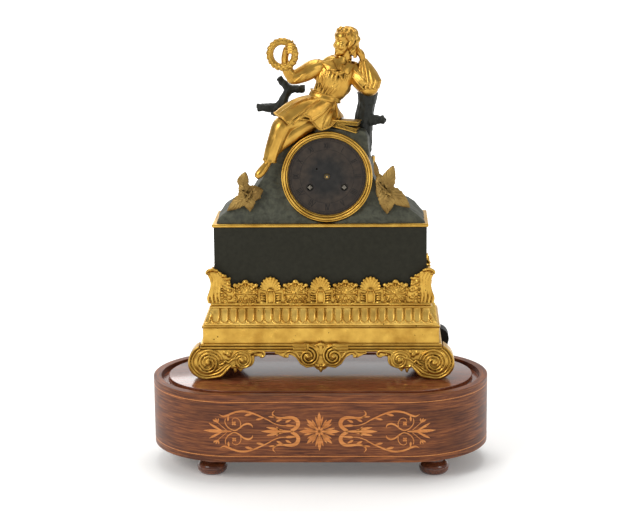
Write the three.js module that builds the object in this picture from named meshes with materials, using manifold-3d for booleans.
// Gilt bronze mantel clock with a seated figure, on a rosewood stand made for a glass dome.
// Millimetres, +Z up. The origin is on the floor under the middle of the stand, and the dial faces -Y.
import * as THREE from "three";
import { ConvexGeometry } from "three/addons/geometries/ConvexGeometry.js";
import { mergeVertices } from "three/addons/utils/BufferGeometryUtils.js";
import Module from "manifold-3d";

const wasm = await Module();
wasm.setup();

// Clearances
const FIT = 0.3; // between pieces that seat on each other
const RUN = 0.4; // round a turning pivot

// Stand
const STAND_LENGTH = 394.4;
const STAND_DEPTH = 192.8;
const WALL_HEIGHT = 79.6;
const RIM_WIDTH = 9;
const GROOVE_WIDTH = 8.8;
const GROOVE_DEPTH = 6;
const BOARD_THICKNESS = 12;
const BUN_HEIGHT = 25.4;
const BUN_RADIUS = 17.5;
const BUN_INSET_X = 68;
const BUN_INSET_Y = 42;
const BUN_SHIFT = 4; // the feet sit a little to the right of the middle
const STAND_TOP = BUN_HEIGHT + WALL_HEIGHT;

// Place of the clock on the stand
const CLOCK_X = 2;

// Plinth, which the gilt base is built round
const PLINTH_HALF = 123.2;
const PLINTH_FRONT = -18;
const PLINTH_BACK = 66;
const PLINTH_WALL = 3;
const PLINTH_TOP = 178.4;
const BEAD_HEIGHT = 4;
const BEAD_OUT = 2;
const BEAD_WIDTH = 4;

// Gilt base: heights, and how far each moulding stands out from the plinth
const RAIL_BOTTOM = 36;
const RAIL_HEIGHT = 7.2;
const BAND_HEIGHT = 21.3;
const COVE_HEIGHT = 24;
const RAIL_SIDE_OUT = 18.7;
const RAIL_FRONT_OUT = 14;
const RAIL_BACK_OUT = 6;
const BAND_STEP = 4.5; // the band lies this far inside the rail at the sides
const COVE_LIP = 1.2; // the cove starts this far inside the band
const ASTRAGAL_HEIGHT = 3.4;
const ASTRAGAL_OUT = 6;
const COVE_NECK_OUT = 3.6;
const CAST_WALL = 4; // thickness of the hollow castings
const LEDGE = 9; // width of the ledge that the plinth stands on
const FOOT_DEPTH = 22;
const VOLUTE_X = 131;
const VOLUTE_RISE = 19; // from the floor of the clock to the eye of the volute
const VOLUTE_REACH = 24.6; // from the eye to the outermost turn
const BACK_FOOT_LEFT = 139; // how far the plain back feet reach from the middle
const BACK_FOOT_RIGHT = 152;
const BACK_FOOT_WIDTH = 46;
const BACK_FOOT_HEIGHT = 41;
const BACK_FOOT_TURN = 13.5; // radius of the rounded shoulder of a back foot
const APRON_THICKNESS = 2.7;
const GALLERY_THICKNESS = 3;
const GALLERY_PITCH = 29;
const GALLERY_VALLEY = 18.5;
const MOTIF_RADIUS = 13.6;
const LEAF_RISE = 41.5; // height of the corner leaves above the cove
const LEAF_WIDTH = 19;
const LEAF_LIP = 6.5; // reach of the tip past the corner of the plinth

// Dial and drum, placed from the middle of the plinth
const DIAL_X = 8.4;
const DIAL_Z = 237;
const BEZEL_RADIUS = 52.5;
const BEZEL_WIDTH = 7.5; // from the opening to the outer edge
const DIAL_OPENING = BEZEL_RADIUS - BEZEL_WIDTH;
const DIAL_LAP = 2; // how far the dial reaches behind the bezel
const DIAL_RADIUS = DIAL_OPENING + DIAL_LAP;
const DIAL_THICKNESS = 1.2;
const BEZEL_DEPTH = 8.7;
const REBATE_DEPTH = 2.7;
const DRUM_FRONT = -9;
const DRUM_BACK = 57;
const DRUM_BORE = 46.5;
const WINDING_SPREAD = 39.6;
const WINDING_DROP = 12.7;

// Movement
const PLATE_RADIUS = 42.8;
const PLATE_THICKNESS = 2;
const FRONT_PLATE = -3;
const PLATE_SPACE = 30;
const BACK_PLATE = FRONT_PLATE + PLATE_THICKNESS + PLATE_SPACE;
const BEHIND = BACK_PLATE + PLATE_THICKNESS;
const PIVOT_RADIUS = 0.5;
const ARBOR_RADIUS = 1.2;
const ARBOR_SIDES = 8;
const PILLAR_RADIUS = 2.5;
const PILLAR_RING = 39;
const WHEEL_THICKNESS = 1.2;
const MODULE = 0.6;
const BARREL_MODULE = 0.75;
const MOTION_MODULE = 0.5;
const CENTRE_MODULE = 0.35;
const THIRD_MODULE = 0.34;
const BARREL_TEETH = 48;
const BARREL_LEAVES = 8; // of the pinions that the barrels drive
const SECOND_TEETH = 40; // of the wheels on those arbors
const CENTRE_LEAVES = 8;
const TRAIN_TEETH = 72; // of the centre and third wheels
const TRAIN_LEAVES = 6;
const ESCAPE_TEETH = 36;
const ESCAPE_RADIUS = 8;
const ANCHOR_RISE = 10.5;
const BARREL_WALL = 1.2;
const BARREL_FRONT = 4;
const BARREL_LENGTH = 20.5;
const WINDING_RADIUS = 2.8;
const RATCHET_TEETH = 24;
const PENDULUM_LENGTH = 120;
const PENDULUM_Y = 37;
const PENDULUM_ROD = 1;
const BOB_RADIUS = 15;
const BOB_DEPTH = 8;
const BELL_RADIUS = 25;
const BELL_X = 13;
const BELL_Z = -8;

// Back door
const BACK_RING_RADIUS = 51;
const BACK_RING_OPENING = 44;
const BACK_RING_DEPTH = 2.7;
const DOOR_RADIUS = 47.5;
const DOOR_THICKNESS = 1.2;
const HINGE_OUT = 53.2;
const KNUCKLE_RADIUS = 2.2;
const HINGE_PIN_RADIUS = 0.9;
const KNUCKLE_LENGTH = 12;

// Figure
const WREATH_RADIUS = 15.4;
const WREATH_TUBE = 3.2;
const WREATH_PLACE = [-40.8, -15.5, 378];
const WREATH_TURN = -12; // degrees about the upright axis
const FIGURE_REACH = 20; // how far the figure may stand in front of the bezel
const BOOK = [29, 17, 9]; // length, width and thickness of the book

const FINISHES = {
  gilt: { color: 0xd2a03c, roughness: 0.32, metalness: 1 },
  leaf: { color: 0xa07a35, roughness: 0.45, metalness: 1 },
  patina: { color: 0x3f433c, roughness: 0.5, metalness: 0.7 },
  black: { color: 0x24251d, roughness: 0.4, metalness: 0.5 },
  dial: { color: 0x3a3430, roughness: 0.6, metalness: 0.6 },
  brass: { color: 0xb8924a, roughness: 0.35, metalness: 1 },
  steel: { color: 0x9a9da0, roughness: 0.35, metalness: 1 },
  rosewood: { color: 0x4a2f22, roughness: 0.35, metalness: 0 },
  pine: { color: 0x8a6a44, roughness: 0.7, metalness: 0 },
};

const MERGE = 1e-4; // vertices closer than this are one vertex

// A closed mesh as a solid that can be joined and cut
function solid(geometry) {
  const bare = geometry.clone();
  bare.deleteAttribute("normal");
  bare.deleteAttribute("uv");
  const merged = mergeVertices(bare, MERGE);
  const corners = merged.index.array;
  const triangles = [];
  for (let i = 0; i < corners.length; i += 3) {
    const [a, b, c] = corners.slice(i, i + 3);
    if (a !== b && b !== c && c !== a) triangles.push(a, b, c);
  }
  const build = (list) =>
    new wasm.Manifold(
      new wasm.Mesh({
        numProp: 3,
        vertProperties: new Float32Array(merged.getAttribute("position").array),
        triVerts: new Uint32Array(list),
      }),
    );
  const body = build(triangles);
  return body.volume() > 0 ? body : build(triangles.toReversed());
}

function geometryOf(body) {
  const mesh = body.getMesh();
  const geometry = new THREE.BufferGeometry();
  geometry.setAttribute("position", new THREE.BufferAttribute(mesh.vertProperties, 3));
  geometry.setIndex(new THREE.BufferAttribute(mesh.triVerts, 1));
  geometry.computeVertexNormals();
  return geometry;
}

function add(group, name, body, finish) {
  const mesh = new THREE.Mesh(geometryOf(body), new THREE.MeshStandardMaterial(FINISHES[finish]));
  mesh.name = name;
  group.add(mesh);
}

function join(...bodies) {
  return bodies.reduce((whole, body) => whole.add(body));
}

function cut(body, ...tools) {
  return tools.reduce((rest, tool) => rest.subtract(tool), body);
}

// The biggest piece of a cut body, without the crumbs that a cut can leave
function largest(body) {
  return body.decompose().reduce((big, piece) => (piece.volume() > big.volume() ? piece : big));
}

// Box between two corners
function block(x0, x1, y0, y1, z0, z1) {
  const geometry = new THREE.BoxGeometry(x1 - x0, y1 - y0, z1 - z0);
  geometry.translate((x0 + x1) / 2, (y0 + y1) / 2, (z0 + z1) / 2);
  return solid(geometry);
}

// Outline in x and z, extruded along y
function frontal(shape, y0, y1, curveSegments = 12) {
  const geometry = new THREE.ExtrudeGeometry(shape, { depth: y1 - y0, bevelEnabled: false, curveSegments });
  geometry.rotateX(Math.PI / 2);
  geometry.translate(0, y1, 0);
  return solid(geometry);
}

// Outline in y and z, extruded along x
function sideways(shape, x0, x1, curveSegments = 12) {
  const geometry = new THREE.ExtrudeGeometry(shape, { depth: x1 - x0, bevelEnabled: false, curveSegments });
  geometry.rotateX(Math.PI / 2);
  geometry.rotateZ(Math.PI / 2);
  geometry.translate(x0, 0, 0);
  return solid(geometry);
}

// Outline in x and y, extruded upwards
function upright(shape, z0, z1, curveSegments = 12) {
  const geometry = new THREE.ExtrudeGeometry(shape, { depth: z1 - z0, bevelEnabled: false, curveSegments });
  geometry.translate(0, 0, z0);
  return solid(geometry);
}

function outline(points) {
  return new THREE.Shape(points.map(([u, v]) => new THREE.Vector2(u, v)));
}

// Round bar along y at a place in x and z
function rod(at, radius, y0, y1, sides = ARBOR_SIDES) {
  const geometry = new THREE.CylinderGeometry(radius, radius, y1 - y0, sides);
  geometry.translate(at.x, (y0 + y1) / 2, at.y);
  return solid(geometry);
}

// Upright round bar
function post(x, y, radius, z0, z1, sides = ARBOR_SIDES) {
  const geometry = new THREE.CylinderGeometry(radius, radius, z1 - z0, sides);
  geometry.rotateX(Math.PI / 2);
  geometry.translate(x, y, (z0 + z1) / 2);
  return solid(geometry);
}

// Profile of radius and y, turned about the y axis at a place in x and z
function turned(at, profile, segments) {
  const points = profile.map(([radius, y]) => new THREE.Vector2(radius, y));
  const geometry = new THREE.LatheGeometry(points, segments);
  geometry.translate(at.x, 0, at.y);
  return solid(geometry);
}

// Stack of rectangles, each [z, half width, front y, back y]
function stacked(stations) {
  const steps = stations.length - 1;
  const geometry = new THREE.BoxGeometry(2, 2, 2, 1, 1, steps);
  const position = geometry.getAttribute("position");
  for (let i = 0; i < position.count; i++) {
    const [z, half, front, back] = stations[Math.round(((position.getZ(i) + 1) / 2) * steps)];
    position.setXYZ(i, position.getX(i) * half, position.getY(i) < 0 ? front : back, z);
  }
  return solid(geometry);
}

// Stand

function stadium(halfLength, radius) {
  const straight = halfLength - radius;
  const shape = new THREE.Shape();
  shape.moveTo(-straight, -radius);
  shape.lineTo(straight, -radius);
  shape.absarc(straight, 0, radius, -Math.PI / 2, Math.PI / 2);
  shape.lineTo(-straight, radius);
  shape.absarc(-straight, 0, radius, Math.PI / 2, Math.PI * 1.5);
  return shape;
}

function standOutline(inset) {
  return stadium(STAND_LENGTH / 2 - inset, STAND_DEPTH / 2 - inset);
}

function bunFoot(x, y) {
  const neck = BUN_RADIUS * 0.5;
  const profile = [
    [0, 0],
    [BUN_RADIUS * 0.72, 0],
    [BUN_RADIUS, BUN_HEIGHT * 0.16],
    [BUN_RADIUS * 0.92, BUN_HEIGHT * 0.4],
    [neck, BUN_HEIGHT * 0.56],
    [neck, BUN_HEIGHT * 0.76],
    [BUN_RADIUS * 0.8, BUN_HEIGHT * 0.88],
    [BUN_RADIUS * 0.8, BUN_HEIGHT - FIT],
    [0, BUN_HEIGHT - FIT],
  ];
  const points = profile.map(([radius, z]) => new THREE.Vector2(radius, z));
  const geometry = new THREE.LatheGeometry(points, 14);
  geometry.rotateX(Math.PI / 2);
  geometry.translate(x, y, 0);
  return solid(geometry);
}

function buildStand(group) {
  const ring = standOutline(0);
  ring.holes.push(standOutline(RIM_WIDTH));
  add(group, "stand_wall", upright(ring, BUN_HEIGHT, STAND_TOP, 10), "rosewood");
  const floor = STAND_TOP - GROOVE_DEPTH;
  const board = upright(standOutline(RIM_WIDTH + FIT), floor - BOARD_THICKNESS, floor, 10);
  const inner = standOutline(RIM_WIDTH + GROOVE_WIDTH);
  const platform = upright(inner, floor - BOARD_THICKNESS / 2, STAND_TOP, 10);
  add(group, "stand_top_board", join(board, platform), "rosewood");
  const bottom = upright(standOutline(RIM_WIDTH + FIT), BUN_HEIGHT, BUN_HEIGHT + BOARD_THICKNESS, 10);
  add(group, "stand_bottom_board", bottom, "pine");
  const x = STAND_LENGTH / 2 - BUN_INSET_X;
  const y = STAND_DEPTH / 2 - BUN_INSET_Y;
  add(group, "stand_foot_front_left", bunFoot(BUN_SHIFT - x, -y), "rosewood");
  add(group, "stand_foot_front_right", bunFoot(BUN_SHIFT + x, -y), "rosewood");
  add(group, "stand_foot_back_left", bunFoot(BUN_SHIFT - x, y), "rosewood");
  add(group, "stand_foot_back_right", bunFoot(BUN_SHIFT + x, y), "rosewood");
}

// Gilt base

const RAIL_TOP = RAIL_BOTTOM + RAIL_HEIGHT;
const BAND_TOP = RAIL_TOP + BAND_HEIGHT;
const COVE_BOTTOM = BAND_TOP + FIT;
const COVE_TOP = COVE_BOTTOM + COVE_HEIGHT;

// One rectangle of the base: side is its distance out from the plinth at the sides
function level(z, side) {
  const front = (side * RAIL_FRONT_OUT) / RAIL_SIDE_OUT;
  const back = (side * RAIL_BACK_OUT) / RAIL_SIDE_OUT;
  return [z, PLINTH_HALF + side, PLINTH_FRONT - front, PLINTH_BACK + back];
}

function baseFrame() {
  const band = RAIL_SIDE_OUT - BAND_STEP;
  const frame = stacked([
    level(RAIL_BOTTOM, RAIL_SIDE_OUT),
    level(RAIL_TOP, RAIL_SIDE_OUT),
    level(RAIL_TOP, band),
    level(BAND_TOP, band),
  ]);
  return cut(frame, stacked([inward(level(0, band)), inward(level(COVE_TOP, band))]));
}

// The same rectangle, one casting wall further in
function inward([z, half, front, back]) {
  return [z, half - CAST_WALL, front + CAST_WALL, back - CAST_WALL];
}

function flutedCove() {
  const bottom = RAIL_SIDE_OUT - BAND_STEP - COVE_LIP;
  const lip = COVE_BOTTOM + COVE_LIP * 2;
  const neck = COVE_TOP - ASTRAGAL_HEIGHT;
  const curve = [];
  const steps = 6;
  for (let i = 0; i <= steps; i++) {
    const t = i / steps;
    const out = COVE_NECK_OUT + (bottom - COVE_NECK_OUT) * (1 - Math.sin((t * Math.PI) / 2));
    curve.push(level(lip + (neck - lip) * t, out));
  }
  const outside = [
    level(COVE_BOTTOM, bottom),
    ...curve,
    level(neck, ASTRAGAL_OUT),
    level(COVE_TOP, ASTRAGAL_OUT),
  ];
  const inside = [level(0, bottom), ...curve].map(inward);
  const half = PLINTH_HALF - LEDGE;
  const mouth = block(-half, half, PLINTH_FRONT + LEDGE, PLINTH_BACK - LEDGE, 0, COVE_TOP * 2);
  return cut(stacked(outside), stacked(inside), mouth);
}

// Scroll foot: a large volute outside, a small one inside, and a leaf tip
function scrollFoot(side, y0) {
  const shape = new THREE.Shape();
  const turn = 14;
  for (let i = 0; i <= turn; i++) {
    const angle = THREE.MathUtils.degToRad(-98 + (188 * i) / turn);
    const grown = THREE.MathUtils.smoothstep(angle, -Math.PI / 2, 0);
    const radius = VOLUTE_RISE + (VOLUTE_REACH - VOLUTE_RISE) * grown;
    const x = side * (VOLUTE_X + radius * Math.cos(angle));
    const z = Math.max(0, VOLUTE_RISE + radius * Math.sin(angle));
    if (i === 0) shape.moveTo(x, z);
    else shape.lineTo(x, z);
  }
  const inner = VOLUTE_X - 44;
  const line = (x, z) => shape.lineTo(side * x, z);
  line(inner - 17, RAIL_TOP);
  line(inner - 20, VOLUTE_RISE + 14);
  line(inner - 18, VOLUTE_RISE + 9);
  line(inner - 10, VOLUTE_RISE + 9);
  for (let i = 0; i <= 5; i++) {
    const angle = THREE.MathUtils.degToRad(165 + 23 * i);
    line(inner + 9.5 * Math.cos(angle), VOLUTE_RISE + 5 + 9.5 * Math.sin(angle));
  }
  line(inner + 7, VOLUTE_RISE - 9.5);
  line(inner + 14, VOLUTE_RISE - 2);
  line(inner + 22, VOLUTE_RISE - 5);
  line(inner + 31, VOLUTE_RISE - 13);
  return largest(cut(frontal(shape, y0, y0 + FOOT_DEPTH), underRail()));
}

// Space that the base frame takes, which the feet stay under
function underRail() {
  const half = PLINTH_HALF + RAIL_SIDE_OUT + FIT;
  return block(-half, half, PLINTH_FRONT * 4, PLINTH_BACK * 2, RAIL_BOTTOM - FIT, RAIL_TOP * 2);
}

// Plain back foot with a rounded shoulder
function backFoot(side, reach, y0) {
  const shoulder = reach - BACK_FOOT_TURN;
  const points = [
    [reach - BACK_FOOT_WIDTH, BACK_FOOT_HEIGHT],
    [reach - BACK_FOOT_WIDTH + 12, 0],
    [shoulder, 0],
    [reach - 4, VOLUTE_RISE / 2],
  ];
  const steps = 6;
  for (let i = 0; i <= steps; i++) {
    const angle = (Math.PI / 2) * (i / steps);
    const z = BACK_FOOT_HEIGHT - BACK_FOOT_TURN * (1 - Math.sin(angle));
    points.push([shoulder + BACK_FOOT_TURN * Math.cos(angle), z]);
  }
  const shape = outline(points.map(([x, z]) => [side * x, z]));
  return largest(cut(frontal(shape, y0, y0 + FOOT_DEPTH), underRail()));
}

// Applied ornament under the middle of the front rail: two volutes, a drop and two leaf tails
function apronMount() {
  const half = [
    [0, 11.5],
    [5, 13.5],
    [8, 16.5],
    [17, 15],
    [24, 19.5],
    [29, 27.5],
    [36, 31.5],
    [42, 27],
    [48, 30],
    [54, 34.5],
    [30, 36.5],
    [26, 41],
    [18, 44.5],
    [6, 43],
    [0, 45.5],
  ];
  const mirrored = half.slice(1, -1).reverse();
  const points = [...half, ...mirrored.map(([x, z]) => [-x, z])];
  const face = PLINTH_FRONT - RAIL_FRONT_OUT - FIT;
  return frontal(outline(points), face - APRON_THICKNESS, face);
}

// One rounded motif of the gallery, as points from left to right
function motif(middle, foot) {
  const points = [];
  for (let i = 0; i <= 5; i++) {
    const angle = Math.PI * (1 - i / 5);
    points.push([middle + MOTIF_RADIUS * Math.cos(angle), foot + MOTIF_RADIUS * Math.sin(angle) * 1.15]);
  }
  return points;
}

// Corner leaf of the gallery: rises to an outward tip, then returns in an S to the foot
function cornerLeaf(edge, foot, outward) {
  const top = foot + LEAF_RISE;
  return [
    [edge - outward * LEAF_WIDTH, foot + GALLERY_VALLEY + 2],
    [edge - outward * 11, foot + LEAF_RISE * 0.72],
    [edge - outward * 4, top - 1.5],
    [edge + outward * 3, top],
    [edge + outward * LEAF_LIP, top - 3.5],
    [edge + outward * 2, top - 8],
    [edge + outward * 0.5, foot + LEAF_RISE * 0.5],
    [edge + outward * 5, foot + LEAF_RISE * 0.25],
    [edge + outward * 4, foot],
  ];
}

const GALLERY_FOOT = COVE_TOP + FIT;

function galleryFront() {
  const points = cornerLeaf(-PLINTH_HALF, GALLERY_FOOT, -1).reverse();
  for (let i = -3; i <= 3; i++) {
    points.push(...motif(i * GALLERY_PITCH, GALLERY_FOOT + GALLERY_VALLEY));
  }
  points.push(...cornerLeaf(PLINTH_HALF, GALLERY_FOOT, 1));
  const back = PLINTH_FRONT - FIT;
  return frontal(outline(points), back - GALLERY_THICKNESS, back);
}

function gallerySide(side) {
  const front = PLINTH_FRONT + LEAF_LIP;
  const points = cornerLeaf(front, GALLERY_FOOT, -1).reverse().slice(3);
  const foot = [PLINTH_FRONT, GALLERY_FOOT];
  const middle = (front + LEAF_WIDTH + PLINTH_BACK) / 2;
  for (const i of [-0.5, 0.5]) {
    points.push(...motif(middle + i * GALLERY_PITCH, GALLERY_FOOT + GALLERY_VALLEY));
  }
  points.push([PLINTH_BACK, GALLERY_FOOT + GALLERY_VALLEY], [PLINTH_BACK, GALLERY_FOOT]);
  const inner = PLINTH_HALF + FIT;
  const x0 = side > 0 ? inner : -inner - GALLERY_THICKNESS;
  return sideways(outline([foot, ...points]), x0, x0 + GALLERY_THICKNESS);
}

function buildBase(group) {
  const frontY = PLINTH_FRONT - RAIL_FRONT_OUT;
  const backY = PLINTH_BACK + RAIL_BACK_OUT - FOOT_DEPTH;
  add(group, "foot_front_left", scrollFoot(-1, frontY), "gilt");
  add(group, "foot_front_right", scrollFoot(1, frontY), "gilt");
  add(group, "foot_back_left", backFoot(-1, BACK_FOOT_LEFT, backY), "black");
  add(group, "foot_back_right", backFoot(1, BACK_FOOT_RIGHT, backY), "black");
  add(group, "base_frame", baseFrame(), "gilt");
  add(group, "apron_mount", apronMount(), "gilt");
  add(group, "fluted_cove", flutedCove(), "gilt");
  add(group, "gallery_front", galleryFront(), "gilt");
  add(group, "gallery_left", gallerySide(-1), "gilt");
  add(group, "gallery_right", gallerySide(1), "gilt");
}

// Plinth

const SLOT_HALF = 30; // half width of the slot that the pendulum hangs through
const SLOT_DEPTH = 9; // half depth of that slot

function pendulumSlot(z0, z1) {
  const x0 = DIAL_X - SLOT_HALF;
  return block(x0, x0 + 2 * SLOT_HALF, PENDULUM_Y - SLOT_DEPTH, PENDULUM_Y + SLOT_DEPTH, z0, z1);
}

function plinthBox(inset, z0, z1) {
  const half = PLINTH_HALF - inset;
  return block(-half, half, PLINTH_FRONT + inset, PLINTH_BACK - inset, z0, z1);
}

function buildPlinth(group) {
  const inside = plinthBox(PLINTH_WALL, 0, PLINTH_TOP - PLINTH_WALL);
  const box = plinthBox(0, COVE_TOP + FIT, PLINTH_TOP);
  add(group, "plinth_case", cut(box, inside, pendulumSlot(COVE_TOP, PLINTH_TOP * 2)), "black");
  const z0 = PLINTH_TOP + FIT;
  const round = BEAD_HEIGHT / 4;
  const ring = stacked(
    [
      [z0, BEAD_OUT - round],
      [z0 + round, BEAD_OUT],
      [z0 + BEAD_HEIGHT - round, BEAD_OUT],
      [z0 + BEAD_HEIGHT, BEAD_OUT - round],
    ].map(([z, out]) => [z, PLINTH_HALF + out, PLINTH_FRONT - out, PLINTH_BACK + out]),
  );
  const middle = plinthBox(BEAD_WIDTH - BEAD_OUT, PLINTH_TOP, PLINTH_TOP * 2);
  add(group, "plinth_bead", cut(ring, middle), "gilt");
}

// Rounded bodies: stations are [x, y, z, radius], or [x, y, z, rx, ry, rz], in the frame of the clock

const BALL = mergeVertices(
  new THREE.SphereGeometry(1, 8, 4).deleteAttribute("normal").deleteAttribute("uv"),
  MERGE,
).getAttribute("position");

function ballPoints([x, y, z, rx, ry = rx, rz = rx], grow) {
  const points = [];
  for (let i = 0; i < BALL.count; i++) {
    const direction = new THREE.Vector3().fromBufferAttribute(BALL, i);
    const size = new THREE.Vector3(rx + grow, ry + grow, rz + grow);
    points.push(direction.multiply(size).add(new THREE.Vector3(x, y, z)));
  }
  return points;
}

// Skin stretched over two or more balls
function stretched(stations, grow) {
  return solid(new ConvexGeometry(stations.flatMap((station) => ballPoints(station, grow))));
}

// Limb through a list of balls
function limb(stations, grow) {
  const spans = stations.slice(1).map((station, i) => stretched([stations[i], station], grow));
  return join(...spans);
}

// Figure

function torsoShape(grow) {
  const chest = [16, 6, 350, 20, 13, 15];
  const rightShoulder = [2, 6, 362, 8.5];
  const leftShoulder = [39, 14, 357, 9];
  const collar = [26, 9, 366, 8, 8, 5];
  const blouse = [24, 9, 337, 12, 10, 9];
  const waist = [7, 7, 330, 14.5, 12, 8];
  const seat = [8, 6, 309, 17, 13, 13];
  const leftHem = [-35, -9, 305, 12, 9, 6];
  const frontHem = [3, -3, 301, 11, 7, 7];
  const rightHem = [20, 4, 309, 6, 8, 7];
  return join(
    stretched([chest, rightShoulder, leftShoulder, collar], grow),
    stretched([chest, waist, blouse], grow),
    stretched([waist, seat, rightHem], grow),
    stretched([waist, seat, leftHem, frontHem], grow),
  );
}

function headShape(grow) {
  return join(
    stretched([[28.5, 8, 388, 12.5, 14, 18.5], [31.5, 12, 391, 13.5, 14.5, 15]], grow),
    stretched([[26, 9.5, 372, 7], [26, 9, 362, 7.5]], grow),
    stretched([[37.5, 14, 390, 11], [40, 16, 378, 8.5]], grow),
    stretched([[20, 13, 374, 5], [25, 14, 386, 8]], grow),
  );
}

function rightArmShape(grow) {
  return limb(
    [
      [0, 5, 362.5, 9.2],
      [-30, -4, 345.5, 7.2],
      [-36.5, -8, 366, 4.6],
      [-34.5, -10, 378, 3.8],
      [-30.5, -14, 386, 4.2, 5, 5.2],
    ],
    grow,
  );
}

function leftArmShape(grow) {
  return limb(
    [
      [42, 17, 354, 10],
      [57.5, 13, 335, 10],
      [56.5, 11, 351, 8.5],
      [51.5, 10, 366, 4.8],
      [47, 9, 375, 4.4],
    ],
    grow,
  );
}

function legsShape(grow) {
  const near = limb(
    [
      [-10, -2, 306, 10.5],
      [-44.5, -18, 304, 8.6],
      [-53, -21, 281, 8],
      [-59, -23, 258, 6.8],
      [-63, -25, 251, 3.6],
      [-72, -30, 240, 3.4],
    ],
    grow,
  );
  const far = limb(
    [
      [0, 2, 299, 9],
      [-26, -9, 287, 8.2],
      [-41, -15, 271, 7.4],
      [-50, -18, 260, 6.4],
      [-54, -21, 251, 3.6],
      [-58, -24, 245, 3],
    ],
    grow,
  );
  return join(near, far);
}

function bookShape(grow) {
  const geometry = new THREE.BoxGeometry(BOOK[0] + 2 * grow, BOOK[1] + 2 * grow, BOOK[2] + 2 * grow);
  geometry.rotateY(THREE.MathUtils.degToRad(8));
  geometry.rotateZ(THREE.MathUtils.degToRad(-12));
  geometry.translate(31, -2, 296);
  return solid(geometry);
}

function wreathShape() {
  const ring = new THREE.TorusGeometry(WREATH_RADIUS, WREATH_TUBE, 8, 20);
  ring.rotateX(Math.PI / 2);
  ring.rotateZ(THREE.MathUtils.degToRad(WREATH_TURN));
  ring.translate(...WREATH_PLACE);
  return solid(ring);
}

// Clear space round the bezel, which nothing else may enter
function bezelSpace(grow) {
  return rod(
    new THREE.Vector2(DIAL_X, DIAL_Z),
    (BEZEL_RADIUS + grow) / Math.cos(Math.PI / 36),
    DRUM_FRONT - FIT - BEZEL_DEPTH - FIGURE_REACH,
    DRUM_FRONT,
    36,
  );
}

function buildFigure(group) {
  const torso = torsoShape(0);
  add(group, "figure_torso", largest(cut(torso, bezelSpace(FIT))), "gilt");
  const head = largest(cut(headShape(0), torsoShape(FIT)));
  add(group, "figure_head", head, "gilt");
  add(group, "figure_right_arm", largest(cut(rightArmShape(0), torsoShape(FIT))), "gilt");
  const leftArm = largest(cut(leftArmShape(0), torsoShape(FIT), headShape(FIT)));
  add(group, "figure_left_arm", leftArm, "gilt");
  const legs = largest(cut(legsShape(0), torsoShape(FIT), bezelSpace(FIT)));
  add(group, "figure_legs", legs, "gilt");
  add(group, "wreath", largest(cut(wreathShape(), rightArmShape(FIT))), "gilt");
  add(group, "book", largest(cut(bookShape(0), torsoShape(FIT))), "gilt");
}

// Rock terrace, tree and leaf mounts

function stumpShape(grow) {
  return join(
    limb([[47, 24, 262, 13], [50, 19, 296, 11.5], [53, 16, 312, 10.5], [55, 15, 322, 10.8]], grow),
    limb([[58, 15, 300, 6], [73, 14, 298.5, 4.4]], grow),
  );
}

function branchShape(grow) {
  const fork = [-36.5, 30, 334, 4.8];
  const elbow = [-46, 30, 310, 5.8];
  return join(
    limb([[-12, 28, 280, 9], [-32, 30, 297, 7], elbow, [-70, 29, 312, 4.6]], grow),
    limb([elbow, fork, [-45, 30, 342, 4]], grow),
    limb([fork, [-21, 30, 332, 4]], grow),
  );
}

// Rock as the overlap of its front and side outlines, drawn in by wall for the hollow inside
function rockMass(wall) {
  const foot = PLINTH_TOP + FIT;
  const low = wall > 0 ? PLINTH_TOP : foot;
  const edge = PLINTH_HALF - (BEAD_WIDTH - BEAD_OUT) - FIT - wall;
  const left = DIAL_X + wall;
  const right = DIAL_X - wall;
  const middle = DIAL_Z - wall;
  const top = middle + BEZEL_RADIUS + 4.5;
  const rise = foot - wall;
  const front = outline([
    [-edge, low],
    [-edge + 2, rise + 8],
    [-edge + 8, rise + 16],
    [-edge + 23, rise + 26],
    [-edge + 38, rise + 31.5],
    [left - 76, middle - 3],
    [left - 66, middle + 15],
    [left - 58, middle + 33],
    [left - 47, middle + 47],
    [left - 28, top - 3],
    [DIAL_X + 2, top],
    [right + 30, top - 2],
    [right + 44, top - 5],
    [right + 48, middle + 44],
    [right + 50, middle + 13],
    [right + 56, middle - 5],
    [edge - 41, rise + 33],
    [edge - 18, rise + 22],
    [edge - 7, rise + 13],
    [edge, rise + 5],
    [edge, low],
  ]);
  const rim = PLINTH_FRONT + (BEAD_WIDTH - BEAD_OUT) + FIT + wall;
  const face = DRUM_FRONT + wall;
  const side = outline([
    [rim, low],
    [rim + 1, rise + 8],
    [face - 3, rise + 18],
    [face, rise + 28],
    [face, top],
    [DRUM_BACK - wall, top],
    [DRUM_BACK - wall, low],
  ]);
  return frontal(front, rim, DRUM_BACK - wall).intersect(sideways(side, -PLINTH_HALF, PLINTH_HALF));
}

function drumBore() {
  return rod(new THREE.Vector2(DIAL_X, DIAL_Z), DRUM_BORE, DRUM_FRONT * 4, DRUM_BACK * 2, 28);
}

function rockTerrace() {
  const seats = [torsoShape, legsShape, bookShape, stumpShape, branchShape].map((shape) => shape(FIT));
  return largest(cut(rockMass(0), rockMass(CAST_WALL), drumBore(), bezelSpace(FIT), ...seats));
}

const MOUNT_THICKNESS = 2.5;
const MOUNT_STAND_OFF = 4; // between the rock and the back of a leaf mount

function leafMount(points, stud) {
  const back = DRUM_FRONT - MOUNT_STAND_OFF;
  const leaf = frontal(outline(points), back - MOUNT_THICKNESS, back);
  return join(leaf, rod(new THREE.Vector2(...stud), 2.2, back - MOUNT_THICKNESS / 2, DRUM_FRONT - FIT));
}

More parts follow.
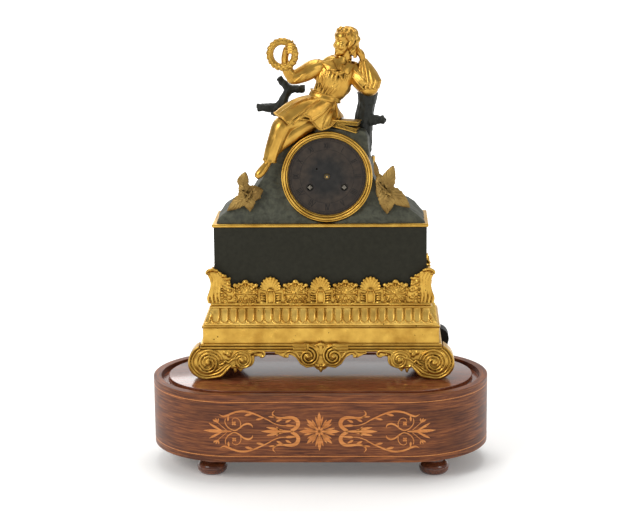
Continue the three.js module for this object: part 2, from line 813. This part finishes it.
const LEFT_LEAVES = [
  [-102, 203],
  [-94, 213],
  [-89, 226],
  [-91, 236],
  [-87.5, 243.5],
  [-81, 240],
  [-76, 229],
  [-66, 223],
  [-67.5, 217],
  [-77, 209],
  [-80, 202],
  [-85, 209],
];
const RIGHT_LEAVES = [
  [63.5, 258.5],
  [67, 250],
  [83, 253],
  [85.5, 245],
  [81.5, 230],
  [93.5, 216],
  [103.5, 203.5],
  [90, 206.5],
  [82, 201],
  [77.5, 194.5],
  [71.5, 209],
  [68, 219],
  [66, 234],
];

function buildTerrace(group) {
  add(group, "rock_terrace", rockTerrace(), "patina");
  const stump = cut(stumpShape(0), leftArmShape(FIT), torsoShape(FIT), bookShape(FIT), bezelSpace(FIT));
  add(group, "tree_stump", largest(cut(stump, drumBore())), "patina");
  const branch = cut(branchShape(0), torsoShape(FIT), legsShape(FIT), rightArmShape(FIT), drumBore());
  add(group, "left_branch", largest(branch), "patina");
  add(group, "leaf_mount_left", leafMount(LEFT_LEAVES, [-72, 219]), "leaf");
  add(group, "leaf_mount_right", leafMount(RIGHT_LEAVES, [72, 216]), "leaf");
}

// Movement, about the axis of the dial: places are in x and z

const at = (x, z) => new THREE.Vector2(x, z);
const towards = (from, to) => Math.atan2(to.y - from.y, to.x - from.x);
const reach = (teeth, leaves, module) => ((teeth + leaves) * module) / 2;

function step(from, degrees, distance) {
  const angle = THREE.MathUtils.degToRad(degrees);
  return at(from.x + distance * Math.cos(angle), from.y + distance * Math.sin(angle));
}

// The upper place that lies at given distances from two others
function between(a, fromA, b, fromB) {
  const span = a.distanceTo(b);
  const along = (fromA * fromA - fromB * fromB + span * span) / (2 * span);
  const across = Math.sqrt(fromA * fromA - along * along);
  const way = b.clone().sub(a).divideScalar(span);
  const foot = a.clone().addScaledVector(way, along);
  const first = foot.clone().addScaledVector(at(-way.y, way.x), across);
  const second = foot.clone().addScaledVector(at(-way.y, way.x), -across);
  return first.y > second.y ? first : second;
}

const FLY_LEAVES = 6;
const CANNON_LEAVES = 12;
const MINUTE_TEETH = 36;
const MINUTE_LEAVES = 10;
const HOUR_TEETH = 40;
const PIN_LEAVES = 6;
const PIN_TEETH = 32;
const WARNING_LEAVES = 6;
const WARNING_TEETH = 22;

// The hour wheel turns on the centre arbor too, so its module follows from that distance
const HOUR_MODULE = (MOTION_MODULE * (MINUTE_TEETH + CANNON_LEAVES)) / (HOUR_TEETH + MINUTE_LEAVES);

const PLACE = { centre: at(0, 0) };
PLACE.goingBarrel = at(WINDING_SPREAD / 2, -WINDING_DROP);
PLACE.strikeBarrel = at(-WINDING_SPREAD / 2, -WINDING_DROP);
PLACE.intermediate = between(
  PLACE.goingBarrel,
  reach(BARREL_TEETH, BARREL_LEAVES, BARREL_MODULE),
  PLACE.centre,
  reach(SECOND_TEETH, CENTRE_LEAVES, MODULE),
);
PLACE.third = step(PLACE.centre, 90, reach(TRAIN_TEETH, TRAIN_LEAVES, CENTRE_MODULE));
PLACE.escape = step(PLACE.third, 90, reach(TRAIN_TEETH, TRAIN_LEAVES, THIRD_MODULE));
PLACE.anchor = step(PLACE.escape, 90, ANCHOR_RISE);
PLACE.second = at(-PLACE.intermediate.x, PLACE.intermediate.y);
PLACE.pin = step(PLACE.second, 120, reach(SECOND_TEETH, PIN_LEAVES, MODULE));
PLACE.warning = step(PLACE.pin, 43, reach(PIN_TEETH, WARNING_LEAVES, MODULE));
PLACE.fly = step(PLACE.warning, 135, reach(WARNING_TEETH, FLY_LEAVES, MODULE));
PLACE.minute = step(PLACE.centre, 90, reach(MINUTE_TEETH, CANNON_LEAVES, MOTION_MODULE));
PLACE.hammer = at(-30, 12);

// Depths of the wheels between the plates
const INSIDE_FRONT = FRONT_PLATE + PLATE_THICKNESS + RUN;
const INSIDE_BACK = BACK_PLATE - RUN;
const BARREL_BACK = BARREL_FRONT + BARREL_LENGTH;
const GREAT_WHEEL_BACK = BARREL_BACK + 2;
const DEPTH = {
  intermediate: INSIDE_FRONT + 0.6,
  second: INSIDE_FRONT + 2.6,
  centre: INSIDE_BACK - 0.2 - WHEEL_THICKNESS,
  third: 14,
  escape: 20,
  pin: 8,
  warning: 17,
};

// Height of the teeth outside the pitch circle and their depth inside it, in modules
const TIP_HEIGHT = 0.6;
const ROOT_DEPTH = 1.2;

// Wheel with pointed teeth, one of them at the angle facing
function gear(place, teeth, module, facing, y0, y1) {
  const pitch = (teeth * module) / 2;
  const points = [];
  for (let i = 0; i < teeth; i++) {
    const tip = facing + (2 * Math.PI * i) / teeth;
    const root = tip + Math.PI / teeth;
    const high = pitch + TIP_HEIGHT * module;
    const low = pitch - ROOT_DEPTH * module;
    points.push([place.x + high * Math.cos(tip), place.y + high * Math.sin(tip)]);
    points.push([place.x + low * Math.cos(root), place.y + low * Math.sin(root)]);
  }
  return frontal(outline(points), y0, y1);
}

// Pinion in mesh with a wheel: a gap between two leaves faces the wheel
function pinion(place, leaves, module, wheelAt, wheelY) {
  const facing = towards(place, wheelAt) + Math.PI / leaves;
  const front = wheelY - PINION_OVERLAP;
  return gear(place, leaves, module, facing, front, front + WHEEL_THICKNESS + 2 * PINION_OVERLAP);
}

const PINION_OVERLAP = 0.4; // the pinion is this much longer than its wheel at each end

// Arbor with its pivots, thin where its pinion meshes from wheelY
function spindle(place, wheelY, wheelDepth = WHEEL_THICKNESS) {
  const gapFront = wheelY - 2 * PINION_OVERLAP;
  const gapBack = wheelY + wheelDepth + 2 * PINION_OVERLAP;
  let body = rod(place, PIVOT_RADIUS, FRONT_PLATE, BEHIND, 6);
  if (gapFront > INSIDE_FRONT) body = join(body, rod(place, ARBOR_RADIUS, INSIDE_FRONT, gapFront));
  if (gapBack < INSIDE_BACK) body = join(body, rod(place, ARBOR_RADIUS, gapBack, INSIDE_BACK));
  return body;
}

function disc(place, teeth, module, nextAt, y) {
  return gear(place, teeth, module, towards(place, nextAt), y, y + WHEEL_THICKNESS);
}

// Round plate with drilled holes, each [place, radius]
function drilled(radius, y0, y1, holes) {
  const drills = holes.map(([place, size]) => rod(place, size, y0 - 1, y1 + 1));
  return cut(rod(PLACE.centre, radius, y0, y1, 32), ...drills);
}

function holedPlate(y0, holes) {
  return drilled(PLATE_RADIUS, y0, y0 + PLATE_THICKNESS, holes);
}

const STUD_RADIUS = 1.1;
const HAMMER_Y = 39;
const PIVOT_HOLE = PIVOT_RADIUS + RUN;
const ARBOR_HOLE = ARBOR_RADIUS + RUN;
const WINDING_HOLE = WINDING_RADIUS + RUN;

function buildPlates(group) {
  const trainHoles = ["intermediate", "third", "escape", "pin", "warning", "fly"];
  const pivots = trainHoles.map((name) => [PLACE[name], PIVOT_HOLE]);
  const winding = [PLACE.goingBarrel, PLACE.strikeBarrel].map((place) => [place, WINDING_HOLE]);
  const front = holedPlate(FRONT_PLATE, [
    ...pivots,
    ...winding,
    [PLACE.centre, ARBOR_HOLE],
    [PLACE.anchor, PIVOT_HOLE],
    [PLACE.second, PIVOT_HOLE],
  ]);
  const minuteStud = rod(PLACE.minute, STUD_RADIUS, MOTION_FRONT - 0.8, FRONT_PLATE + PLATE_THICKNESS / 2);
  add(group, "front_plate", join(front, minuteStud), "brass");
  let back = holedPlate(BACK_PLATE, [
    ...pivots,
    ...winding,
    [PLACE.centre, PIVOT_HOLE],
    [PLACE.anchor, ARBOR_HOLE],
    [PLACE.second, ARBOR_HOLE],
  ]);
  for (const degrees of [-90, 30, 66, 150]) {
    const place = step(PLACE.centre, degrees, PILLAR_RING);
    const front = FRONT_PLATE + PLATE_THICKNESS + FIT;
    back = join(back, rod(place, PILLAR_RADIUS, front, BACK_PLATE + PLATE_THICKNESS / 2));
  }
  const stud = rod(PLACE.hammer, STUD_RADIUS, BACK_PLATE + PLATE_THICKNESS / 2, HAMMER_Y + 3);
  add(group, "back_plate", join(back, stud), "brass");
}

// The drum of a barrel stays inside the roots of its teeth
function barrelRadius() {
  return (BARREL_TEETH * BARREL_MODULE) / 2 - ROOT_DEPTH * BARREL_MODULE - FIT;
}

// Barrel: drum, closed at the back by its toothed great wheel
function barrel(place, drivenAt) {
  const radius = barrelRadius();
  const drum = rod(place, radius, BARREL_FRONT, BARREL_BACK + 1, 20);
  const facing = towards(place, drivenAt);
  const wheel = gear(place, BARREL_TEETH, BARREL_MODULE, facing, BARREL_BACK, GREAT_WHEEL_BACK);
  const room = rod(place, radius - BARREL_WALL, BARREL_FRONT + BARREL_WALL, BARREL_BACK, 20);
  return cut(join(drum, wheel), room, rod(place, WINDING_HOLE, BARREL_FRONT * -1, INSIDE_BACK, 12));
}

// Mainspring: a flat band wound from the barrel wall to the winding arbor
function mainspring(place) {
  const outer = barrelRadius() - BARREL_WALL - 2 * FIT;
  const inner = WINDING_HOLE + FIT;
  const turns = 3;
  const steps = turns * 10;
  const band = 1;
  const edge = (offset) =>
    Array.from({ length: steps + 1 }, (_, i) => {
      const angle = (2 * Math.PI * turns * i) / steps;
      const radius = outer - band + offset - ((outer - inner - band) * i) / steps;
      return [place.x + radius * Math.cos(angle), place.y + radius * Math.sin(angle)];
    });
  const shape = outline([...edge(band), ...edge(0).reverse()]);
  return frontal(shape, BARREL_FRONT + BARREL_WALL + FIT, BARREL_BACK - FIT);
}

const RATCHET_BACK = FRONT_PLATE - RUN;

// Winding arbor: square for the key, ratchet in front of the plate, pivot in the back plate
function windingArbor(place) {
  const squareFront = DIAL_FRONT - FIT;
  const ratchetFront = RATCHET_BACK - WHEEL_THICKNESS;
  const square = rod(place, WINDING_RADIUS, squareFront, ratchetFront + 0.5, 4);
  const ratchet = gear(place, RATCHET_TEETH, 14 / RATCHET_TEETH, 0, ratchetFront, RATCHET_BACK);
  return join(square, ratchet, rod(place, WINDING_RADIUS, RATCHET_BACK - 0.5, BEHIND, 12));
}

const DIAL_BACK = DRUM_FRONT - FIT - 1.2;
const DIAL_FRONT = DIAL_BACK - DIAL_THICKNESS;
const MOTION_FRONT = FRONT_PLATE - 5; // front of the hour wheel
const MINUTE_FRONT = FRONT_PLATE - 2.6; // front of the minute wheel
const CENTRE_TIP = DIAL_FRONT - 2.8;
const CANNON_RADIUS = 2.1;
const HOUR_PIPE_RADIUS = 3.2;

function buildGoingTrain(group) {
  add(group, "going_barrel", barrel(PLACE.goingBarrel, PLACE.intermediate), "brass");
  add(group, "going_mainspring", mainspring(PLACE.goingBarrel), "steel");
  add(group, "going_winding_arbor", windingArbor(PLACE.goingBarrel), "steel");
  const greatDepth = GREAT_WHEEL_BACK - BARREL_BACK;
  const greatPinion = (place, barrelAt) => {
    const facing = towards(place, barrelAt) + Math.PI / BARREL_LEAVES;
    return gear(place, BARREL_LEAVES, BARREL_MODULE, facing, BARREL_BACK - 0.4, GREAT_WHEEL_BACK + 0.2);
  };
  const intermediate = join(
    spindle(PLACE.intermediate, BARREL_BACK, greatDepth),
    greatPinion(PLACE.intermediate, PLACE.goingBarrel),
    disc(PLACE.intermediate, SECOND_TEETH, MODULE, PLACE.centre, DEPTH.intermediate),
  );
  add(group, "intermediate_wheel", intermediate, "brass");
  const centre = join(
    rod(PLACE.centre, ARBOR_RADIUS - 0.2, CENTRE_TIP, INSIDE_BACK),
    rod(PLACE.centre, PIVOT_RADIUS, INSIDE_BACK - 1, BEHIND, 6),
    pinion(PLACE.centre, CENTRE_LEAVES, MODULE, PLACE.intermediate, DEPTH.intermediate),
    disc(PLACE.centre, TRAIN_TEETH, CENTRE_MODULE, PLACE.third, DEPTH.centre),
  );
  add(group, "centre_wheel", centre, "brass");
  const third = join(
    spindle(PLACE.third, DEPTH.centre),
    pinion(PLACE.third, TRAIN_LEAVES, CENTRE_MODULE, PLACE.centre, DEPTH.centre),
    disc(PLACE.third, TRAIN_TEETH, THIRD_MODULE, PLACE.escape, DEPTH.third),
  );
  add(group, "third_wheel", third, "brass");
  const escape = join(
    spindle(PLACE.escape, DEPTH.third),
    pinion(PLACE.escape, TRAIN_LEAVES, THIRD_MODULE, PLACE.third, DEPTH.third),
    disc(PLACE.escape, ESCAPE_TEETH, (2 * ESCAPE_RADIUS) / ESCAPE_TEETH, PLACE.anchor, DEPTH.escape),
  );
  add(group, "escape_wheel", escape, "brass");
  const second = join(
    spindle(PLACE.second, BARREL_BACK, greatDepth),
    greatPinion(PLACE.second, PLACE.strikeBarrel),
    disc(PLACE.second, SECOND_TEETH, MODULE, PLACE.pin, DEPTH.second),
    rod(PLACE.second, ARBOR_RADIUS, INSIDE_BACK - 0.5, COUNT_WHEEL + WHEEL_THICKNESS),
    rod(PLACE.second, COUNT_WHEEL_RADIUS, COUNT_WHEEL, COUNT_WHEEL + WHEEL_THICKNESS, 24),
  );
  add(group, "strike_second_wheel", second, "brass");
}

const COUNT_WHEEL = BEHIND + 1;
const COUNT_WHEEL_RADIUS = 8;

function buildStrikeTrain(group) {
  add(group, "strike_barrel", barrel(PLACE.strikeBarrel, PLACE.second), "brass");
  add(group, "strike_mainspring", mainspring(PLACE.strikeBarrel), "steel");
  add(group, "strike_winding_arbor", windingArbor(PLACE.strikeBarrel), "steel");
  let pinWheel = join(
    spindle(PLACE.pin, DEPTH.second),
    pinion(PLACE.pin, PIN_LEAVES, MODULE, PLACE.second, DEPTH.second),
    disc(PLACE.pin, PIN_TEETH, MODULE, PLACE.warning, DEPTH.pin),
  );
  for (let i = 0; i < 8; i++) {
    const place = step(PLACE.pin, i * 45, 6.5);
    pinWheel = join(pinWheel, rod(place, 0.5, DEPTH.pin + 0.5, DEPTH.pin + 4, 4));
  }
  add(group, "pin_wheel", pinWheel, "brass");
  const warning = join(
    spindle(PLACE.warning, DEPTH.pin),
    pinion(PLACE.warning, WARNING_LEAVES, MODULE, PLACE.pin, DEPTH.pin),
    disc(PLACE.warning, WARNING_TEETH, MODULE, PLACE.fly, DEPTH.warning),
  );
  add(group, "warning_wheel", warning, "brass");
  const blade = new THREE.BoxGeometry(11, 6, 0.8);
  blade.rotateY(THREE.MathUtils.degToRad(30));
  blade.translate(PLACE.fly.x, 24, PLACE.fly.y);
  const fly = join(
    spindle(PLACE.fly, DEPTH.warning),
    pinion(PLACE.fly, FLY_LEAVES, MODULE, PLACE.warning, DEPTH.warning),
    solid(blade),
  );
  add(group, "fly", fly, "brass");
}

// Wheels under the dial that turn the hour hand once in twelve turns of the minute hand
function buildMotionWork(group) {
  const cannonBack = FRONT_PLATE - RUN;
  const cannonFacing = towards(PLACE.centre, PLACE.minute);
  const cannon = join(
    rod(PLACE.centre, CANNON_RADIUS, CENTRE_TIP + 1.2, cannonBack, 10),
    gear(PLACE.centre, CANNON_LEAVES, MOTION_MODULE, cannonFacing, MINUTE_FRONT - 0.2, cannonBack),
  );
  const cannonBore = rod(PLACE.centre, ARBOR_RADIUS + FIT, CENTRE_TIP - 5, INSIDE_FRONT, 10);
  add(group, "cannon_pinion", cut(cannon, cannonBore), "steel");
  const minuteFacing = towards(PLACE.minute, PLACE.centre);
  const minute = join(
    gear(
      PLACE.minute,
      MINUTE_TEETH,
      MOTION_MODULE,
      minuteFacing + Math.PI / MINUTE_TEETH,
      MINUTE_FRONT,
      MINUTE_FRONT + WHEEL_THICKNESS,
    ),
    gear(PLACE.minute, MINUTE_LEAVES, HOUR_MODULE, minuteFacing, MOTION_FRONT - 0.2, MINUTE_FRONT + 0.4),
  );
  const minuteBore = rod(PLACE.minute, STUD_RADIUS + FIT, MOTION_FRONT - 5, INSIDE_FRONT, 10);
  add(group, "minute_wheel", cut(minute, minuteBore), "brass");
  const hourFacing = cannonFacing + Math.PI / HOUR_TEETH;
  const hour = join(
    gear(PLACE.centre, HOUR_TEETH, HOUR_MODULE, hourFacing, MOTION_FRONT, MOTION_FRONT + WHEEL_THICKNESS),
    rod(PLACE.centre, HOUR_PIPE_RADIUS, CENTRE_TIP + 2, MOTION_FRONT + WHEEL_THICKNESS, 12),
  );
  const hourBore = rod(PLACE.centre, CANNON_RADIUS + RUN, CENTRE_TIP - 5, INSIDE_FRONT, 12);
  add(group, "hour_wheel", cut(hour, hourBore), "brass");
}

// Anchor with its arbor and the crutch that reaches down to the pendulum rod
function buildEscapement(group) {
  const { x, y: z } = PLACE.anchor;
  const half = [
    [1.8, 1.8],
    [8.4, -2.2],
    [7, -4.4],
    [5.8, -3.2],
    [1.5, -1.6],
  ];
  const arms = [...half, ...half.map(([u, v]) => [-u, v]).reverse()];
  const pallets = outline(arms.map(([u, v]) => [x + u, z + v]));
  const crutchY = BEHIND + 1;
  const crutchLow = z - 23;
  const anchor = join(
    rod(PLACE.anchor, PIVOT_RADIUS, FRONT_PLATE, INSIDE_BACK, 6),
    rod(PLACE.anchor, ARBOR_RADIUS, INSIDE_FRONT, crutchY + 1.2),
    frontal(pallets, DEPTH.escape, DEPTH.escape + WHEEL_THICKNESS),
    block(x - 1, x + 1, crutchY, crutchY + 1.2, crutchLow, z),
    block(x - 1, x + 1, crutchY, PENDULUM_Y - PENDULUM_ROD - FIT, crutchLow, crutchLow + 2),
  );
  add(group, "anchor", anchor, "steel");
  const bobAt = at(x, z - PENDULUM_LENGTH);
  const halfBob = BOB_DEPTH / 2;
  const bob = turned(
    bobAt,
    [
      [0, PENDULUM_Y - halfBob],
      [BOB_RADIUS * 0.6, PENDULUM_Y - halfBob * 0.8],
      [BOB_RADIUS, PENDULUM_Y],
      [BOB_RADIUS * 0.6, PENDULUM_Y + halfBob * 0.8],
      [0, PENDULUM_Y + halfBob],
    ],
    24,
  );
  const pendulum = join(
    bob,
    post(x, PENDULUM_Y, PENDULUM_ROD, bobAt.y - BOB_RADIUS - 4, z),
    block(x - 2, x + 2, PENDULUM_Y - 1, PENDULUM_Y + 1, z - 5, z + 1.5),
  );
  add(group, "pendulum", pendulum, "brass");
  const cockFoot = z + 1.5 + FIT;
  const cock = block(x - 5, x + 5, BEHIND + FIT, PENDULUM_Y + 3, cockFoot, cockFoot + 3);
  add(group, "suspension_cock", cock, "brass");
}

function buildStriking(group) {
  const bellAt = at(BELL_X, BELL_Z);
  const rim = HAMMER_Y + 3;
  const cup = turned(
    bellAt,
    [
      [0, rim + 12],
      [BELL_RADIUS * 0.55, rim + 11],
      [BELL_RADIUS * 0.88, rim + 7],
      [BELL_RADIUS, rim],
      [BELL_RADIUS - 1.8, rim],
      [BELL_RADIUS * 0.8, rim + 6],
      [BELL_RADIUS * 0.5, rim + 9.2],
      [0, rim + 10],
    ],
    24,
  );
  add(group, "bell", join(cup, rod(bellAt, 2, BEHIND + FIT, rim + 11)), "brass");
  const headAt = at(BELL_X - BELL_RADIUS - 5.2, BELL_Z);
  const stemAngle = towards(PLACE.hammer, headAt);
  const stem = new THREE.BoxGeometry(PLACE.hammer.distanceTo(headAt), 1.5, 1.6);
  stem.rotateY(-stemAngle);
  const middle = PLACE.hammer.clone().add(headAt).divideScalar(2);
  stem.translate(middle.x, HAMMER_Y + 0.75, middle.y);
  const hammer = join(
    rod(PLACE.hammer, 3, HAMMER_Y, HAMMER_Y + 2, 12),
    solid(stem),
    rod(headAt, 3.4, HAMMER_Y, HAMMER_Y + 8, 12),
  );
  const bore = rod(PLACE.hammer, STUD_RADIUS + FIT, BEHIND, HAMMER_Y * 2, 10);
  add(group, "hammer", cut(hammer, bore), "steel");
}

const SMALL_HOLE = at(-11.7, 8.8);
const SMALL_HOLE_RADIUS = 1.2;

function buildDial(group) {
  const back = DRUM_FRONT - FIT;
  const front = back - BEZEL_DEPTH;
  const rebate = back - REBATE_DEPTH;
  const seat = DIAL_RADIUS + FIT;
  const profile = [
    [seat, back],
    [BEZEL_RADIUS, back],
    [BEZEL_RADIUS, front + 5],
    [BEZEL_RADIUS - 1.5, front + 1.5],
    [BEZEL_RADIUS - 3.3, front],
    [DIAL_OPENING + 2, front],
    [DIAL_OPENING + 0.6, front + 1.5],
    [DIAL_OPENING, front + 3.5],
    [DIAL_OPENING, rebate],
    [seat, rebate],
    [seat, back],
  ];
  add(group, "bezel", turned(PLACE.centre, profile, 36), "gilt");
  let dial = drilled(DIAL_RADIUS, DIAL_FRONT, DIAL_BACK, [
    [PLACE.centre, HOUR_PIPE_RADIUS + RUN],
    [PLACE.goingBarrel, WINDING_RADIUS + 2 * RUN],
    [PLACE.strikeBarrel, WINDING_RADIUS + 2 * RUN],
    [SMALL_HOLE, SMALL_HOLE_RADIUS],
  ]);
  for (const degrees of [90, 210, 330]) {
    const foot = step(PLACE.centre, degrees, 36);
    dial = join(dial, rod(foot, 1, DIAL_BACK - 0.5, FRONT_PLATE - FIT, 6));
  }
  add(group, "dial", dial, "dial");
}

// Upright tube for a hinge, with a bore for the pin
function knuckle(x, y, z0, z1) {
  const points = [
    [HINGE_PIN_RADIUS + FIT, z0],
    [KNUCKLE_RADIUS, z0],
    [KNUCKLE_RADIUS, z1],
    [HINGE_PIN_RADIUS + FIT, z1],
    [HINGE_PIN_RADIUS + FIT, z0],
  ].map(([radius, z]) => new THREE.Vector2(radius, z));
  const geometry = new THREE.LatheGeometry(points, 10);
  geometry.rotateX(Math.PI / 2);
  geometry.translate(x, y, 0);
  return solid(geometry);
}

const STRAP_WIDTH = 10;
const STRAP_THICKNESS = 1.4;

function buildBack(group) {
  const y0 = DRUM_BACK + FIT;
  const y1 = y0 + BACK_RING_DEPTH;
  const doorFront = y1 + FIT;
  const doorBack = doorFront + DOOR_THICKNESS;
  const hingeY = doorFront + KNUCKLE_RADIUS - 0.6;
  const half = KNUCKLE_LENGTH / 2;
  const profile = [
    [BACK_RING_OPENING, y0],
    [BACK_RING_RADIUS, y0],
    [BACK_RING_RADIUS, y1],
    [BACK_RING_OPENING, y1],
    [BACK_RING_OPENING, y0],
  ];
  const pinSpace = post(HINGE_OUT, hingeY, HINGE_PIN_RADIUS + FIT, -4 * half, 4 * half, 10);
  let ring = turned(PLACE.centre, profile, 36);
  for (const side of [-1, 1]) {
    const inner = side * BACK_RING_OPENING;
    const outer = inner + side * STRAP_THICKNESS;
    const z = STRAP_WIDTH / 2;
    ring = join(ring, block(Math.min(inner, outer), Math.max(inner, outer), DRUM_FRONT, y0 + 1, -z, z));
    const low = side > 0 ? half + RUN : -2 * half;
    const tab = block(BACK_RING_RADIUS - 4, HINGE_OUT, y0, y1, low, low + half - RUN);
    ring = join(ring, knuckle(HINGE_OUT, hingeY, low, low + half - RUN), cut(tab, pinSpace));
  }
  add(group, "back_bezel", ring, "brass");
  const tab = block(DOOR_RADIUS - 3, HINGE_OUT, doorFront, doorBack, -half, half);
  const knobProfile = [
    [0, doorBack - 0.5],
    [2, doorBack - 0.5],
    [3, doorBack + 4],
    [0, doorBack + 5],
  ];
  const knob = turned(at(-DOOR_RADIUS + 7, 0), knobProfile, 12);
  const door = join(
    rod(PLACE.centre, DOOR_RADIUS, doorFront, doorBack, 36),
    cut(tab, pinSpace),
    knuckle(HINGE_OUT, hingeY, -half, half),
    knob,
  );
  add(group, "back_door", door, "brass");
  const pin = join(
    post(HINGE_OUT, hingeY, HINGE_PIN_RADIUS, -2 * half - 0.5, 2 * half + FIT + 0.5),
    post(HINGE_OUT, hingeY, HINGE_PIN_RADIUS * 2, 2 * half + FIT, 2 * half + FIT + 1.2),
  );
  add(group, "door_hinge_pin", pin, "steel");
}

const clock = new THREE.Group();
clock.position.set(CLOCK_X, 0, STAND_TOP);
buildBase(clock);
buildPlinth(clock);
buildTerrace(clock);
buildFigure(clock);

const movement = new THREE.Group();
movement.position.set(DIAL_X, 0, DIAL_Z);
buildDial(movement);
buildPlates(movement);
buildGoingTrain(movement);
buildStrikeTrain(movement);
buildMotionWork(movement);
buildEscapement(movement);
buildStriking(movement);
buildBack(movement);
clock.add(movement);

const group = new THREE.Group();
buildStand(group);
group.add(clock);
export default group;
